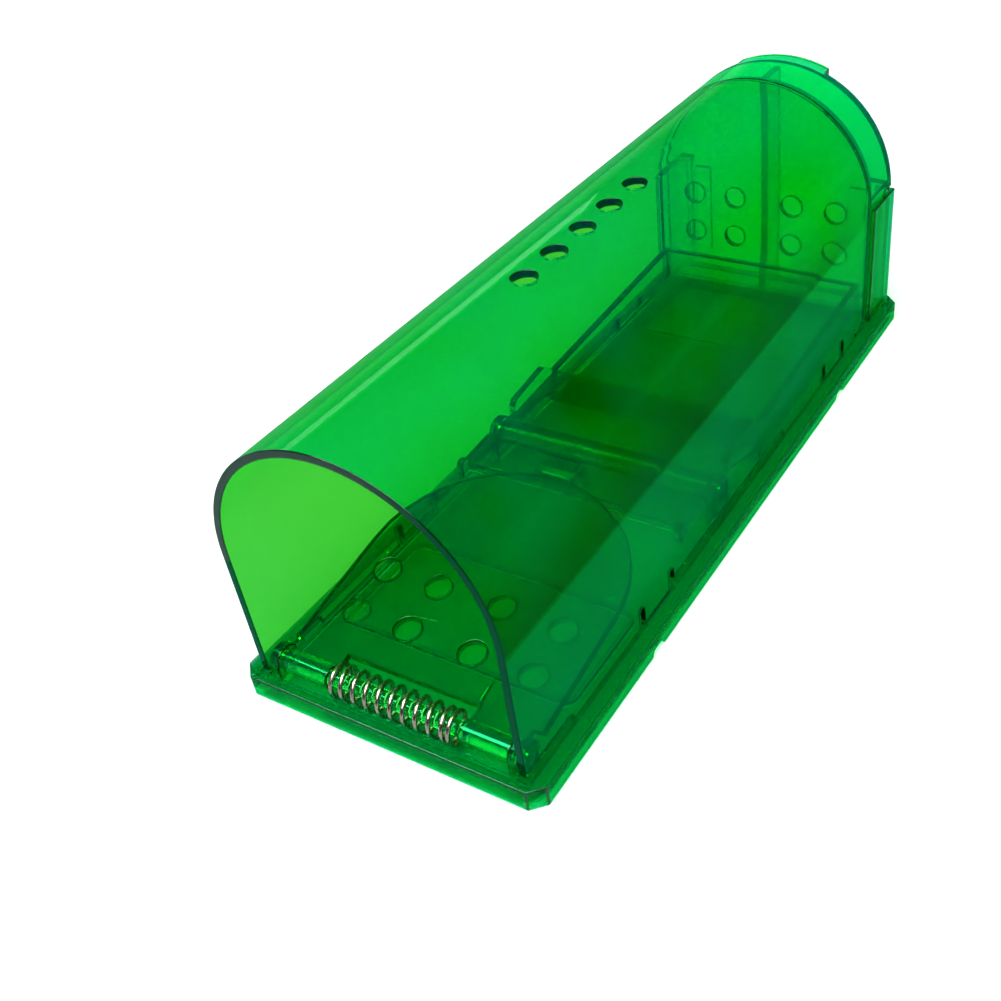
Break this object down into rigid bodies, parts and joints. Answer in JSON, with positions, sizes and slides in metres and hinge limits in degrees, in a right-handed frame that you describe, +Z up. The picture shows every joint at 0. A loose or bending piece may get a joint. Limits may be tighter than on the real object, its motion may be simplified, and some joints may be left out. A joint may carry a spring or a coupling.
{
  "type": "live catch trap",
  "caption": "Clear green tunnel trap that catches mice alive: sprung entry door, see-saw treadle with a catch hook, and a lift-off bait cap.",
  "frame": {"origin": "on the resting plane, under the middle of the tray's outline", "axes": "+X to the right as seen from the entrance, +Y along the tunnel from the entrance to the bait end, +Z up"},
  "size_m": [0.065, 0.1758, 0.0617],
  "materials": {
    "shell_green": "clear green, polished, see-through",
    "tray_green": "clear green, polished, see-through",
    "inner_green": "clear green, polished, see-through",
    "spring_steel": "bright drawn wire"
  },
  "bodies": {
    "base": {"base_tray": "tray_green", "door_hinge_rod": "inner_green", "door_spring": "spring_steel", "treadle_axle": "inner_green"},
    "tunnel": {"tunnel_housing": "shell_green"},
    "cap": {"bait_cap": "shell_green", "bait_screen": "shell_green", "bait_divider": "inner_green"},
    "door": {"entry_door": "inner_green"},
    "see_saw": {"treadle": "inner_green"}
  },
  "joints": [
    {"name": "door_hinge", "type": "hinge", "parent": "base", "child": "door", "pos_m": [0, -0.0809, 0.006], "axis": [1, 0, 0], "range_deg": [0, 60]},
    {"name": "treadle_tilt", "type": "hinge", "parent": "base", "child": "see_saw", "pos_m": [0, -0.008, 0.009], "axis": [-1, 0, 0], "range_deg": [0, 3]},
    {"name": "cap_lift", "type": "slide", "parent": "base", "child": "cap", "axis": [0, 0, 1], "range_m": [0, 0.06]},
    {"name": "tunnel_lift", "type": "slide", "parent": "base", "child": "tunnel", "axis": [0, 0, 1], "range_m": [0, 0.062]}
  ]
}
